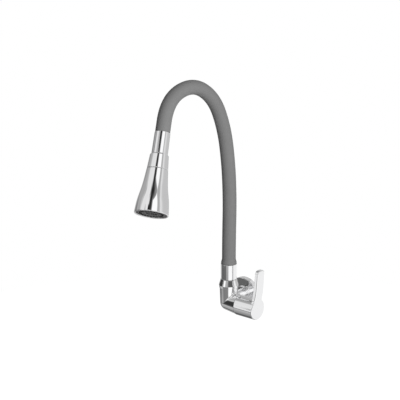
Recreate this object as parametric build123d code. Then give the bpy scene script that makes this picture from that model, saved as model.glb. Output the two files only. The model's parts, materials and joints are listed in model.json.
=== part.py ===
from build123d import *
import math
import os

# Laundry tap, in millimetres. The wall is the plane y = 0, the room is on its -Y side, +Z is up,
# and the inlet's axis runs through the origin. The lever is on the +X side.

# Gaps between pieces
thread_gap = 0.05          # between a screwed or pushed-on pair
running_gap = 0.08         # round a shaft or a ring that turns
play = 0.06                # between flat faces that turn on each other
soft_gap = 0.3             # round a soft or bending piece
seam = 0.3                 # visible line between two casings that turn on each other
over = 1.0                 # how far a cut runs past a face
close = 0.01               # two places this near are one

# Body casting
wall_to_spout = 43.0       # wall to the spout's axis
ball_r = 13.4              # corner ball, from which column and neck widen
column_top_r = 14.4
barrel_step = 0.4          # inlet barrel's radius less than the ball's
barrel_start = 2.5         # wall to the barrel's end, inside the flange
column_top = 24.4          # valve axis to the nut's seat
neck_reach = 22.0          # spout axis to the neck's end
neck_step = 0.3            # neck's radius less than the handle's, where they meet
junction_r = 3.0           # hollow where column, neck and barrel meet
waterway_r = 5.0
cross_drill_r = 3.2        # slanted drilling from the valve up to the spout
cross_drill_reach = 14.0   # spout's axis to the drilling's lower end
cross_drill_rise = 5.6     # valve's axis to the drilling's lower end
cross_drill_top = 12.8     # valve's axis to the drilling's upper end

# Wall side
inlet_thread_r = 10.48     # half-inch pipe thread, over its crests
tail_length = 18.0         # thread that enters the wall
nipple_grip = 12.0         # thread that is screwed into the barrel
nipple_grip_r = 10.2
nipple_shoulder_r = 11.8
nipple_bore_r = 6.5
flange_r = 29.5
flange_rim = 6.4           # height of the flange's straight edge
flange_face = 8.6          # wall to the flange's front face
flange_wall = 1.4
flange_neck_r = 16.0
flange_neck_top = 11.6
flange_edge = 1.4          # rounding of the flange's front edge
gasket_width = 4.0
gasket_thick = 2.0

# Valve, measured from the spout's axis along +X
seat_reach = 7.0           # bottom of the valve port
port_r = 9.3
port_step = 5.0            # spigot past the neck, for the handle's guide ring
seal_thick = 2.0
disc_r = 7.4
disc_thick = 3.2
disc_port_r = 2.3
disc_port_reach = 4.2
skirt_r = 8.7
drive_thick = 2.6          # drive flange of the spindle
key_width = 9.6            # tongue that turns the moving disc
window_width = 6.0
hex_flats = 24.0
hex_thick = 6.0
headwork_ring_w = 1.6
bonnet_r = 9.0
bonnet_length = 8.0
spindle_r = 4.0
spindle_ring_w = 1.8
spindle_groove = 0.9       # depth of a ring's groove
clip_groove = 0.5
spindle_inset = 1.4        # handle's face to the spindle's end
clip_thick = 1.0
clip_r = 6.2
lug_thick = 2.4            # lug that stops the spindle at a quarter turn
lug_r = 6.4
lug_half = 25.0            # half the lug's angle, in degrees
lug_margin = 2.0           # free angle at each stop, in degrees
quarter_turn = 90.0
guide_r = 12.7             # inside the guide ring

# Lever handle
handle_r = 16.2
handle_length = 35.3
handle_wall = 1.8
handle_thick = 4.6         # end wall
hub_r = 7.6
hub_length = 9.0
flat_half = 3.1            # half the width over the spindle's two flats
lever_top = 64.5           # valve axis to the lever's tip
lever_root = 18.4          # lever width near the disc
lever_tip = 16.4           # lever width near the tip
lever_tip_corner = 5.6
lever_bend_at = 8.1        # valve axis to where the lever starts to curve out
lever_fillet = 9.0         # hollow between disc and lever
lever_lean = 5.8           # outward lean at the tip
lever_curve = [(0, 0), (0.25, 0.42), (0.6, 0.83), (1, 1)]     # shares of its length and lean
lever_thick = 5.6
handle_edge = 0.9
grub_r = 1.5
grub_length = 6.0
grub_key_r = 0.75          # hexagon socket of the grub screw, over its corners
grub_key_deep = 1.5

# Swivel joint
spigot_r = 11.6
spigot_height = 8.1
socket_r = 8.6
socket_floor = 15.5        # valve axis to the bottom of the socket
spout_bore_floor = 9.8
washer_thick = 0.7
stem_flange_r = 10.9
stem_flange = 2.0
stem_neck_r = 7.9
stem_ring_w = 2.0
stem_groove = 1.4          # depth of a ring's groove
nut_bottom_r = 15.0
nut_wide_r = 15.4
nut_wide_at = 4.0          # widest line over the nut's bottom
nut_top_r = 12.5
nut_roof = 2.1
nut_wide_edge = 0.8        # rounding of the widest line

# Lower collar
collar_r = 12.4
collar_length = 24.1
collar_grip = 8.0          # threaded part at its foot
core_seat = 8.5            # length of bore that holds the gooseneck's end
collar_wall = 0.9          # thin wall round the sleeve's end
collar_edge = 0.5

# Gooseneck spout
sleeve_out_r = 10.6
sleeve_in_r = 8.6
core_in_r = 6.0
hose_r = 5.2
hose_bore_r = 3.8
barb_r = 3.75
barb_bore_r = 2.7
barb_length = 10.5
ferrule_wall = 0.5
ferrule_length = 9.5
lip_r = 11.9               # bulge of the sleeve over the lower collar
lip_height = 2.6
lip_taper = 4.8
lip_edge = 0.3
bend_share = 0.44          # share of a run that each arc takes up
riser_bend = 25.0          # largest bend at each place, in degrees
crown_bend = 35.0
drop_bend = 15.0
spout_height = 363.0       # inlet's axis to the highest corner of the spout's line
spout_reach = 191.0        # spout's axis to the line's last corner, away from the wall
spout_lean = 32.8          # the same, sideways
route = [                  # its corners as shares of lean, reach and height, chosen by hand
    (0, 0, 0.2865), (0.061, 0.005, 0.452), (0.121, 0.037, 0.614), (0.212, 0.11, 0.774),
    (0.342, 0.265, 0.919), (0.43, 0.535, 1), (0.573, 0.847, 0.964), (1, 1, 0.81),
]

# Spray head, measured along its own axis from the top of the upper collar
head_grip = 16.0           # length of gooseneck inside the upper collar
upper_collar_top_r = 11.2
upper_collar_foot_r = 11.7
upper_collar_length = 31.6
sleeve_tuck = 8.0          # length of sleeve inside the upper collar
tuck_r = 9.9
fitting_neck = 9.9
fitting_flange_r = 9.8
fitting_flange = 3.5
nose_r = 8.3
nose_length = 11.5
cap_top_r = 12.6
cap_shoulder_r = 13.3
cap_bevel = 1.1
cap_foot_r = 15.1
cap_length = 21.4
cap_roof = 2.4
cap_cavity_r = 12.7
cap_hole_r = 4.5
connection_thick = 1.6
seat_thick = 3.95
port_reach = 7.0
head_port_r = 2.2
inner_port_reach = 4.6
outer_port_reach = 10.0
jet_port_r = 1.9
seat_lip = 0.8
port_ring_w = 1.5
screw_shank_r = 1.7
screw_thread_r = 1.4
screw_head_r = 2.8
screw_head = 1.8
screw_slot = 0.7           # width of the cross slot
screw_slot_length = 3.9
bell_length = 64.2
bell_top_r = 15.2
bell_mouth_r = 24.4
bell_flare = [              # shares of the length and of the spread, from cap to mouth
    (0, 0), (0.25, 0.2), (0.45, 0.42), (0.65, 0.715), (0.8, 0.87), (1, 1),
]
bell_wall = 1.5
mouth_rim = 2.2            # width of the rounded rim round the mouth
rim_round = 0.95
web_thick = 2.5
ledge_width = 2.2
ledge_thick = 2.0
plate_recess = 1.0
plate_thick = 3.4
mat_thick = 1.5
plate_ring_w = 1.5
nozzle_count = 24
nozzle_ring_r = 15.8
nozzle_hole_r = 1.6
nozzle_tip_r = 1.3
nozzle_bore_r = 0.45
nozzle_reach = 0.8         # nozzle tips past the plate
tube_in_r = 6.6
tube_wall = 1.2
aerator_r = 9.8
aerator_wall = 1.2
aerator_length = 14.0
aerator_seal_thick = 1.8
aerator_hole_count = 8
aerator_hole_reach = 5.4
aerator_hole_r = 0.95
screen_thick = 0.4
screen_count = 3
socket_wall = 1.1

selector_turn = 60.0       # turn between the two jets, in degrees

# Derived places
body_centre = Vector(0, -wall_to_spout, 0)
barrel_r = ball_r - barrel_step
port_mouth = neck_reach + port_step
seal_at = seat_reach
fixed_disc_at = seal_at + seal_thick
moving_disc_at = fixed_disc_at + disc_thick + play
drive_at = moving_disc_at + disc_thick
drive_end = drive_at + drive_thick
bonnet_at = port_mouth + hex_thick
bonnet_end = bonnet_at + bonnet_length
handle_start = neck_reach + seam
handle_face = handle_start + handle_length
handle_at = handle_face - handle_thick
spigot_top = column_top + spigot_height
flange_low = spigot_top + washer_thick + play
flange_high = flange_low + stem_flange
washer_at = flange_high + play
nut_roof_at = washer_at + washer_thick
nut_top = nut_roof_at + nut_roof
collar_at = nut_top + seam
stem_shoulder = collar_at + collar_grip
core_bottom = stem_shoulder + thread_gap
rim_step = stem_shoulder + core_seat
collar_top = collar_at + collar_length
core_out_r = sleeve_in_r - soft_gap

inlet_frame = Plane(origin=(0, 0, 0), x_dir=(1, 0, 0), z_dir=(0, -1, 0))
spout_frame = Plane(origin=body_centre, x_dir=(1, 0, 0), z_dir=(0, 0, 1))
valve_frame = Plane(origin=body_centre, x_dir=(0, 0, 1), z_dir=(1, 0, 0))

corners = [
    Vector(lean * spout_lean, -wall_to_spout - reach * spout_reach, height * spout_height)
    for lean, reach, height in route
]
drop_direction = (corners[-1] - corners[-2]).normalized()
head_top = corners[-1] - drop_direction * head_grip
head_frame = Plane(origin=head_top, x_dir=(0, 1, 0), z_dir=drop_direction)

cap_at = upper_collar_length + seam
cap_end = cap_at + cap_length
fitting_at = head_grip + thread_gap
fitting_flange_at = fitting_at + fitting_neck
nose_at = fitting_flange_at + fitting_flange
nose_end = nose_at + nose_length
cap_roof_at = nose_end + connection_thick
cavity_at = cap_roof_at + cap_roof
seat_end = cavity_at + seat_thick
diverter_at = seat_end + port_ring_w / 4
bell_at = cap_end + seam
web_end = bell_at + web_thick
mouth = bell_at + bell_length
plate_end = mouth - plate_recess
plate_at = plate_end - plate_thick
mat_at = plate_at - mat_thick
plate_ring_at = mat_at - plate_ring_w
ledge_at = plate_ring_at - ledge_thick
aerator_end = plate_end
aerator_at = aerator_end - aerator_length
aerator_seal_at = aerator_at - aerator_seal_thick


# Small helpers

def disc(radius, low, high):
    """Cylinder on the local Z axis, from low to high."""
    return Pos(0, 0, low) * Cylinder(radius, high - low, align=(Align.CENTER, Align.CENTER, Align.MIN))


def ring(outer, inner, low, high):
    return disc(outer, low, high) - disc(inner, low - over, high + over)


def turned(*outline):
    """Solid of revolution round the local Z axis, from (radius, height) points."""
    points = [(r, 0, z) for r, z in outline]
    return revolve(make_face(Polyline(*points, close=True)), Axis.Z)


def rims(solid, radius, height):
    """Circular edges of a turned solid at one radius and height."""
    found = []
    for edge in solid.edges().filter_by(GeomType.CIRCLE):
        if abs(edge.radius - radius) < close and abs(edge.arc_center.Z - height) < close:
            found.append(edge)
    return found


def soft_ring(centre_r, half, height):
    """Rubber ring of round section on the local Z axis."""
    return Pos(0, 0, height) * Torus(centre_r, half)


def placed(frame, solid):
    return frame.location * solid


# Tap body and wall side

def widening(end_r, reach):
    """Cone that leaves the corner ball where it touches it and widens to a radius at a distance."""
    touch = math.atan2(end_r, reach) + math.acos(ball_r / math.hypot(end_r, reach))
    start, start_r = ball_r * math.cos(touch), ball_r * math.sin(touch)
    return turned((0, start), (start_r, start), (end_r, reach), (0, reach))


def body_casting():
    """Column, neck and barrel round the corner ball, with hollows where they meet."""
    body = placed(spout_frame, widening(column_top_r, column_top) + Sphere(ball_r))
    body += placed(valve_frame, widening(handle_r - neck_step, neck_reach))
    body += placed(inlet_frame, disc(barrel_r, barrel_start, wall_to_spout))
    meeting = body.edges().filter_by(GeomType.ELLIPSE) + body.edges().filter_by(GeomType.BSPLINE)
    return fillet(meeting, junction_r)


def tap_body():
    top = spigot_top
    body = body_casting() + placed(spout_frame, disc(spigot_r, column_top, top))
    body += placed(valve_frame, disc(guide_r - thread_gap, neck_reach, port_mouth))
    socket_end = barrel_start + nipple_grip + thread_gap
    inlet = disc(waterway_r, 0, wall_to_spout) + disc(nipple_grip_r + thread_gap, 0, socket_end)
    port = disc(waterway_r, 0, seat_reach + over) + disc(port_r, seat_reach, port_mouth + over)
    outlet = disc(waterway_r, spout_bore_floor, top) + disc(socket_r, socket_floor, top + over)
    body -= placed(inlet_frame, inlet)
    body -= placed(valve_frame, port)
    body -= placed(spout_frame, outlet)
    return body - cross_passage()


def cross_passage():
    """Slanted drilling from the valve chamber up to the spout's bore."""
    start = body_centre + Vector(cross_drill_reach, 0, cross_drill_rise)
    end = body_centre + Vector(0, 0, cross_drill_top)
    drill = Plane(origin=start, z_dir=end - start)
    return placed(drill, disc(cross_drill_r, 0, (end - start).length))


def inlet_nipple():
    grip = barrel_start + nipple_grip
    outer = disc(inlet_thread_r, -tail_length, 0) + disc(nipple_shoulder_r, 0, barrel_start)
    outer += disc(nipple_grip_r, barrel_start, grip)
    return placed(inlet_frame, outer - disc(nipple_bore_r, -tail_length - over, grip + over))


def wall_flange():
    hole = barrel_r + thread_gap
    shell = turned(
        (hole, flange_neck_top), (flange_neck_r, flange_neck_top), (flange_neck_r, flange_face),
        (flange_r, flange_face), (flange_r, 0), (flange_r - flange_wall, 0),
        (flange_r - flange_wall, flange_rim), (flange_neck_r, flange_rim), (hole, flange_rim),
    )
    shell = fillet(rims(shell, flange_r, flange_face), flange_edge)
    shell = fillet(rims(shell, flange_neck_r, flange_face), flange_edge / 2)
    shell = fillet(rims(shell, flange_neck_r, flange_neck_top), flange_edge / 2)
    return placed(inlet_frame, shell)


def flange_gasket():
    outer = flange_r - flange_wall - thread_gap
    seat = ring(outer, outer - gasket_width, 0, gasket_thick)
    return placed(inlet_frame, seat)


# Valve

def seat_seal():
    return placed(valve_frame, ring(disc_r, waterway_r, seal_at, fixed_disc_at))


def disc_ports(low, high):
    hole = disc(disc_port_r, low - over, high + over)
    return Pos(disc_port_reach, 0, 0) * hole + Pos(-disc_port_reach, 0, 0) * hole


def fixed_disc():
    end = fixed_disc_at + disc_thick
    return placed(valve_frame, disc(disc_r, fixed_disc_at, end) - disc_ports(fixed_disc_at, end))


def drive_key(gap, low, high):
    """Tongue of the spindle that turns the moving disc."""
    size = disc_port_r - gap
    width = key_width - gap
    return Pos(0, 0, low) * Box(size, width, high - low, align=(Align.CENTER, Align.CENTER, Align.MIN))


def moving_disc():
    half = drive_at - disc_thick / 2
    plate = disc(disc_r - play, moving_disc_at, drive_at)
    turned_ports = Rot(0, 0, quarter_turn) * disc_ports(moving_disc_at, half)
    lower = plate - turned_ports
    return placed(valve_frame, lower - drive_key(0, half, drive_at + over))


def headwork_body():
    outer = disc(skirt_r, fixed_disc_at - seal_thick / 2, drive_end)
    outer += disc(port_r - thread_gap, drive_end, port_mouth)
    hexagon = extrude(RegularPolygon(hex_flats / 2, 6, major_radius=False), hex_thick)
    outer += Pos(0, 0, port_mouth) * hexagon
    outer += disc(bonnet_r, bonnet_at, bonnet_end)
    inner = disc(disc_r + play, 0, drive_end + play) + disc(spindle_r + running_gap, 0, bonnet_end + over)
    window = Box(window_width, 4 * port_r, disc_thick, align=(Align.CENTER, Align.CENTER, Align.MIN))
    inner += Pos(0, 0, moving_disc_at) * window
    groove = ring(port_r + headwork_ring_w + thread_gap, port_r - thread_gap, port_mouth - over,
                  port_mouth + headwork_ring_w)
    return placed(valve_frame, outer - inner - groove - stop_pocket())


def stop_pocket():
    """Pocket at the bonnet's end in which the spindle's lug turns a quarter turn."""
    low = bonnet_end - lug_thick - play
    start = -lug_half - lug_margin
    sweep_angle = quarter_turn + 2 * (lug_half + lug_margin)
    return sector(lug_r + soft_gap, low, bonnet_end + over, start, sweep_angle)


def sector(radius, low, high, start, angle):
    """Pie slice on the local Z axis, from a start angle on, in degrees."""
    def rim(degrees):
        a = math.radians(degrees)
        return (radius * math.cos(a), radius * math.sin(a))
    arc = ThreePointArc(rim(start), rim(start + angle / 2), rim(start + angle))
    face = make_face(Line((0, 0), rim(start)) + arc + Line(rim(start + angle), (0, 0)))
    return Pos(0, 0, low) * extrude(face, high - low)


def headwork_o_ring():
    half = headwork_ring_w / 2
    return placed(valve_frame, soft_ring(port_r + half, half - thread_gap, port_mouth + half))


def spindle_groove_places():
    gap = (port_mouth - drive_end) / 3
    return [drive_end + gap, drive_end + 2 * gap]


def spindle():
    end = handle_face - spindle_inset
    shaft = disc(disc_r - soft_gap, drive_at, drive_end) + disc(spindle_r, drive_end, end)
    shaft += drive_key(soft_gap, drive_at - disc_thick / 2 + play, drive_at)
    low = bonnet_end - lug_thick
    shaft += sector(lug_r, low, bonnet_end, -lug_half, 2 * lug_half)
    for place in spindle_groove_places():
        shaft -= ring(spindle_r + over, spindle_r - spindle_groove, place, place + spindle_ring_w)
    clip_at = bonnet_end + play
    shaft -= ring(lug_r + over, spindle_r - clip_groove, clip_at, clip_at + clip_thick + play)
    flats_at = handle_at - hub_length
    for side in (-1, 1):
        cut = Pos(side * (flat_half + spindle_r), 0, flats_at) * Box(
            2 * spindle_r, 4 * spindle_r, end, align=(Align.CENTER, Align.CENTER, Align.MIN))
        shaft -= cut
    return placed(valve_frame, shaft)


def spindle_o_rings():
    rings = []
    for place in spindle_groove_places():
        bottom = spindle_r - spindle_groove
        rings.append(ring(spindle_r + running_gap / 2, bottom, place + play, place + spindle_ring_w - play))
    return Compound([placed(valve_frame, r) for r in rings])


def spindle_clip():
    low = bonnet_end + play
    clip = ring(clip_r, spindle_r - clip_groove + thread_gap, low, low + clip_thick)
    mouth_cut = Pos(clip_r / 2, 0, low) * Box(clip_r, spindle_r, 4 * clip_thick)
    return placed(valve_frame, clip - mouth_cut)


def handle_guide():
    """Slip ring on the body's spigot that centres the turning handle."""
    outer = handle_r - handle_wall - running_gap
    return placed(valve_frame, ring(outer, guide_r, neck_reach + seam, port_mouth))


# Lever handle

def lever_outline():
    """Front outline in the plane of the disc: x is up along the lever, y is across it."""
    root = math.sqrt(handle_r ** 2 - (lever_root / 2) ** 2)
    lever = make_face(Polyline(
        (0, -lever_root / 2), (root, -lever_root / 2), (lever_top, -lever_tip / 2),
        (lever_top, lever_tip / 2), (root, lever_root / 2), (0, lever_root / 2), close=True))
    tips = lever.vertices().filter_by(lambda v: abs(v.X - lever_top) < close)
    lever = fillet(tips, lever_tip_corner)
    whole = lever + Circle(handle_r)
    hollows = whole.vertices().filter_by(lambda v: abs(math.hypot(v.X, v.Y) - handle_r) < close)
    return fillet(hollows, lever_fillet)


def lever_side():
    """Side outline: x is up, z is outward from the spout. The lever curves out towards its tip."""
    tip_face = handle_face + lever_lean
    low = -handle_r - over
    high = lever_top + over
    back_start = handle_r + over

    def leaning(start, start_z, end_z):
        points = [(start + (high - start) * share, 0, start_z + (end_z - start_z) * lean)
                  for share, lean in lever_curve]
        return Spline(*points, tangents=((1, 0, 0), (1, 0, 0)))

    front = leaning(lever_bend_at, handle_face, tip_face)
    back = leaning(back_start, handle_at, tip_face - lever_thick)
    foot = Polyline((lever_bend_at, 0, handle_face), (low, 0, handle_face), (low, 0, handle_at),
                    (back_start, 0, handle_at))
    end = Line((high, 0, tip_face - lever_thick), (high, 0, tip_face))
    return extrude(make_face(front + back + foot + end), 2 * handle_r, dir=(0, 1, 0), both=True)


def on_lever_rim(edge):
    """True for an edge round the front face, apart from the line where the lever starts to curve."""
    middle = edge.center()
    seam_line = abs(middle.Y) < play and middle.X < lever_top - over
    return middle.Z > handle_face - play and not seam_line


def lever_handle():
    plate = Pos(0, 0, handle_at - over) * extrude(lever_outline(), handle_thick + lever_lean + 2 * over)
    plate = plate & lever_side()
    plate = fillet(plate.edges().filter_by(on_lever_rim), handle_edge)
    skirt = ring(handle_r, handle_r - handle_wall, handle_start, handle_at + over)
    plate += fillet(rims(skirt, handle_r, handle_start), handle_edge / 2)
    plate += disc(hub_r, handle_at - hub_length, handle_at + handle_thick / 2)
    socket = disc(spindle_r + thread_gap, 0, handle_face - spindle_inset + thread_gap)
    flats = Box(2 * (flat_half + thread_gap), 4 * spindle_r, 4 * handle_face)
    plate -= socket & flats
    return placed(valve_frame, plate - grub_hole())


def grub_line():
    return Plane(origin=(-flat_half, 0, handle_at + handle_thick / 2), x_dir=(0, 1, 0), z_dir=(-1, 0, 0))


def grub_hole():
    return placed(grub_line(), disc(grub_r + thread_gap, -over / 2, 2 * handle_r))


def grub_screw():
    screw = disc(grub_r, thread_gap, grub_length)
    key = Pos(0, 0, grub_length) * extrude(RegularPolygon(grub_key_r, 6), -grub_key_deep)
    return placed(valve_frame, placed(grub_line(), screw - key))


# Swivel joint

def stem_groove_places():
    gap = (spigot_top - socket_floor) / 3
    return [socket_floor + gap - stem_ring_w / 2, socket_floor + 2 * gap - stem_ring_w / 2]


def swivel_stem():
    tail = socket_r - running_gap
    stem = disc(tail, socket_floor + soft_gap, flange_low) + disc(stem_flange_r, flange_low, flange_high)
    stem += disc(stem_neck_r, flange_high, stem_shoulder)
    stem += disc(barb_r, stem_shoulder, stem_shoulder + barb_length)
    stem -= disc(waterway_r, 0, stem_shoulder - core_seat / 2)
    stem -= disc(barb_bore_r, 0, stem_shoulder + barb_length + over)
    for place in stem_groove_places():
        stem -= ring(tail + over, tail - stem_groove, place, place + stem_ring_w)
    return placed(spout_frame, stem)


def stem_o_rings():
    rings = []
    for place in stem_groove_places():
        inner = socket_r - running_gap - stem_groove
        rings.append(ring(socket_r - running_gap / 2, inner, place + play, place + stem_ring_w - play))
    return Compound([placed(spout_frame, r) for r in rings])


def lower_slip_washer():
    return placed(spout_frame, ring(stem_flange_r, socket_r, spigot_top, spigot_top + washer_thick))


def upper_slip_washer():
    inner = stem_neck_r + soft_gap
    return placed(spout_frame, ring(stem_flange_r, inner, washer_at, nut_roof_at))


def swivel_nut():
    bottom = column_top + thread_gap
    bore = spigot_r + thread_gap
    nut = turned(
        (bore, bottom), (nut_bottom_r, bottom), (nut_wide_r, bottom + nut_wide_at),
        (nut_top_r, nut_top), (stem_neck_r + soft_gap, nut_top), (stem_neck_r + soft_gap, nut_roof_at),
        (stem_flange_r + soft_gap, nut_roof_at), (stem_flange_r + soft_gap, spigot_top),
        (bore, spigot_top),
    )
    nut = fillet(rims(nut, nut_wide_r, bottom + nut_wide_at), nut_wide_edge)
    return placed(spout_frame, nut)


def lower_collar():
    thread = stem_neck_r + thread_gap
    seat = core_out_r + thread_gap
    thin = collar_r - collar_wall
    shell = turned(
        (thread, collar_at), (collar_r, collar_at), (collar_r, collar_top), (thin, collar_top),
        (thin, rim_step), (seat, rim_step), (seat, stem_shoulder), (thread, stem_shoulder),
    )
    shell = fillet(rims(shell, collar_r, collar_at), collar_edge)
    return placed(spout_frame, fillet(rims(shell, collar_r, collar_top), collar_edge / 2))


# Gooseneck spout

def turn_at(points, i):
    return (points[i] - points[i - 1]).get_angle(points[i + 1] - points[i])


def arc_radius(i):
    """Radius of the arc at one corner of the whole route, counted from the stem's shoulder."""
    whole = [body_centre + Vector(0, 0, core_bottom)] + corners
    shorter = min((whole[i] - whole[i - 1]).length, (whole[i + 1] - whole[i]).length)
    return bend_share * shorter / math.tan(math.radians(turn_at(whole, i) / 2))


def run_line(start, first, last, end):
    """Path from start to end through the corners first to last, as straight runs and tangent arcs."""
    inner = corners[first - 1:last]
    if not inner:
        return Line(start, end)
    return FilletPolyline(start, *inner, end, radius=[arc_radius(i) for i in range(first, last + 1)])


def tube_along(path, outer, inner):
    start = Plane(origin=path @ 0, z_dir=path % 0)
    return sweep(start * (Circle(outer) - Circle(inner)), path)


def bend_point(i):
    """Middle of the run that ends at corner i, where the spout may bend."""
    return (corners[i - 1] + corners[i]) * 0.5


def bend_room(angle):
    """Half the gap that two spans of the core need to bend this far."""
    return core_out_r * math.tan(math.radians(angle / 2)) + soft_gap


def bend_ends(i, angle):
    """Ends of the two spans that meet at a bend."""
    along = (corners[i] - corners[i - 1]).normalized() * bend_room(angle)
    return bend_point(i) - along, bend_point(i) + along


def gooseneck_core_spans():
    start = body_centre + Vector(0, 0, core_bottom)
    riser_end, crown_start = bend_ends(1, riser_bend)
    crown_end, drop_start = bend_ends(5, crown_bend)
    drop_end, tip_start = bend_ends(7, drop_bend)
    lines = {
        "gooseneck_core_riser": run_line(start, 1, 1, riser_end),
        "gooseneck_core_crown": run_line(crown_start, 2, 5, crown_end),
        "gooseneck_core_drop": run_line(drop_start, 6, 7, drop_end),
        "gooseneck_core_tip": run_line(tip_start, 8, 7, corners[-1]),
    }
    return {name: tube_along(line, core_out_r, core_in_r) for name, line in lines.items()}


def water_hose():
    start = body_centre + Vector(0, 0, core_bottom + soft_gap)
    return tube_along(run_line(start, 1, 7, corners[-1] - drop_direction * soft_gap), hose_r, hose_bore_r)


def silicone_sleeve():
    start = body_centre + Vector(0, 0, rim_step + soft_gap)
    tube = tube_along(run_line(start, 1, 7, head_top - drop_direction * soft_gap), sleeve_out_r, sleeve_in_r)
    low = rim_step + soft_gap
    rim = collar_top + thread_gap
    lip_end = rim + lip_height
    inside = collar_r - collar_wall - thread_gap
    lip = turned(
        (sleeve_in_r, low), (inside, low), (inside, rim), (lip_r, rim), (lip_r, lip_end),
        (sleeve_out_r, lip_end + lip_taper), (sleeve_in_r, lip_end + lip_taper),
    )
    lip = fillet(rims(lip, lip_r, rim), lip_edge)
    lip = fillet(rims(lip, lip_r, lip_end), lip_taper / 3)
    tuck = ring(tuck_r, sleeve_in_r, -2 * soft_gap, sleeve_tuck)
    return tube + placed(spout_frame, lip) + placed(head_frame, tuck)


def lower_ferrule():
    low = core_bottom + soft_gap
    inner = hose_r + thread_gap
    return placed(spout_frame, ring(inner + ferrule_wall, inner, low, low + ferrule_length))


def upper_ferrule():
    high = head_grip - soft_gap
    inner = hose_r + thread_gap
    return placed(head_frame, ring(inner + ferrule_wall, inner, high - ferrule_length, high))


# Spray head

def upper_collar():
    thread = stem_neck_r + thread_gap
    seat = core_out_r + thread_gap
    low = sleeve_tuck + soft_gap
    foot = fitting_flange_at - thread_gap
    shell = turned(
        (tuck_r + thread_gap, 0), (upper_collar_top_r, 0), (upper_collar_foot_r, upper_collar_length),
        (fitting_flange_r + thread_gap, upper_collar_length), (fitting_flange_r + thread_gap, foot),
        (thread, foot), (thread, head_grip), (seat, head_grip), (seat, low), (tuck_r + thread_gap, low),
    )
    shell = fillet(rims(shell, upper_collar_top_r, 0), collar_edge / 2)
    return placed(head_frame, fillet(rims(shell, upper_collar_foot_r, upper_collar_length), collar_edge / 2))


def hose_end_fitting():
    barb_start = fitting_at - barb_length
    solid = disc(barb_r, barb_start, fitting_at) + disc(stem_neck_r, fitting_at, fitting_flange_at)
    solid += disc(fitting_flange_r, fitting_flange_at, nose_at) + disc(nose_r, nose_at, nose_end)
    solid -= disc(barb_bore_r, barb_start - over, nose_end + over)
    return placed(head_frame, solid - disc(waterway_r, fitting_at + fitting_neck / 2, nose_end + over))


def connection_washer():
    return placed(head_frame, ring(nose_r, waterway_r, nose_end, cap_roof_at))


def head_cap():
    shell = turned(
        (nose_r + thread_gap, cap_at), (cap_top_r, cap_at), (cap_shoulder_r, cap_at + cap_bevel),
        (cap_foot_r, cap_end), (cap_cavity_r, cap_end), (cap_cavity_r, cavity_at),
        (cap_hole_r, cavity_at), (cap_hole_r, cap_roof_at), (nose_r + thread_gap, cap_roof_at),
    )
    return placed(head_frame, fillet(rims(shell, cap_shoulder_r, cap_at + cap_bevel), cap_bevel / 2))


def diverter_seat():
    outer = disc(cap_cavity_r - thread_gap, cavity_at, seat_end)
    pocket = disc(port_reach + head_port_r + seat_lip, cavity_at - over, cavity_at + seat_thick / 3)
    port = Pos(port_reach, 0, 0) * disc(head_port_r, cavity_at, seat_end + over)
    groove = Pos(port_reach, 0, 0) * disc(head_port_r + port_ring_w, seat_end - port_ring_w, seat_end + over)
    thread = disc(screw_thread_r + thread_gap, cavity_at, seat_end + over)
    boss = disc(2 * screw_thread_r, cavity_at + thread_gap, seat_end)
    return placed(head_frame, (outer - pocket + boss) - port - groove - thread)


def diverter_seal():
    low = seat_end - port_ring_w
    seal = ring(head_port_r + port_ring_w - thread_gap, head_port_r, low, diverter_at - play)
    return placed(head_frame, Pos(port_reach, 0, 0) * seal)


def slanted_port(angle, reach, radius):
    """Drilling through the diverter disc from the seat's port to a port at another reach."""
    start = Vector(port_reach, 0, diverter_at - over)
    end = Vector(reach, 0, bell_at + over)
    hole = placed(Plane(origin=start, z_dir=end - start), disc(radius, -over, (end - start).length + over))
    return Rot(0, 0, angle) * hole


def diverter_disc():
    plate = disc(cap_cavity_r - soft_gap, diverter_at, bell_at - play)
    plate -= disc(screw_shank_r + running_gap, diverter_at - over, bell_at)
    plate -= slanted_port(0, inner_port_reach, jet_port_r)
    return placed(head_frame, plate - slanted_port(-selector_turn, outer_port_reach, jet_port_r))


def shoulder_screw():
    shank = disc(screw_thread_r, cavity_at + seat_thick / 3, seat_end)
    shank += disc(screw_shank_r, seat_end, web_end + play)
    shank += disc(screw_head_r, web_end + play, web_end + play + screw_head)
    top = web_end + play + screw_head
    cross = Box(screw_slot_length, screw_slot, screw_head) + Box(screw_slot, screw_slot_length, screw_head)
    return placed(head_frame, shank - Pos(0, 0, top) * cross)


def bell_line(inset):
    """Flared profile of the bell, drawn in by inset: slow near the cap, quickest past the middle."""
    def at(share, spread):
        radius = bell_top_r + (bell_mouth_r - bell_top_r) * spread
        return (radius - inset, 0, bell_at + bell_length * share)
    return Spline(*[at(share, spread) for share, spread in bell_flare])


def bell_solid(inset):
    outline = bell_line(inset)
    top = outline @ 0
    end = outline @ 1
    sides = Polyline(end, (0, 0, end.Z), (0, 0, top.Z), top)
    return revolve(make_face(outline + sides), Axis.Z)


def head_bell():
    shell = bell_solid(0) - (bell_solid(bell_wall) - disc(bell_mouth_r, bell_at - over, web_end))
    seat_r = bell_mouth_r - mouth_rim
    band = disc(bell_mouth_r, ledge_at, mouth) - disc(seat_r - bell_wall - ledge_width, 0, mouth)
    shell += band & bell_solid(bell_wall / 2)
    shell -= disc(seat_r, plate_ring_at, mouth + over)
    shell = fillet(rims(shell, bell_mouth_r, mouth) + rims(shell, seat_r, mouth), rim_round)
    shell -= disc(screw_shank_r + running_gap, 0, web_end + over)
    shell -= Pos(inner_port_reach, 0, 0) * disc(jet_port_r, 0, web_end + over)
    outer_port = Pos(outer_port_reach, 0, 0) * disc(jet_port_r, 0, web_end + over)
    return placed(head_frame, shell - Rot(0, 0, -selector_turn) * outer_port)


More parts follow.
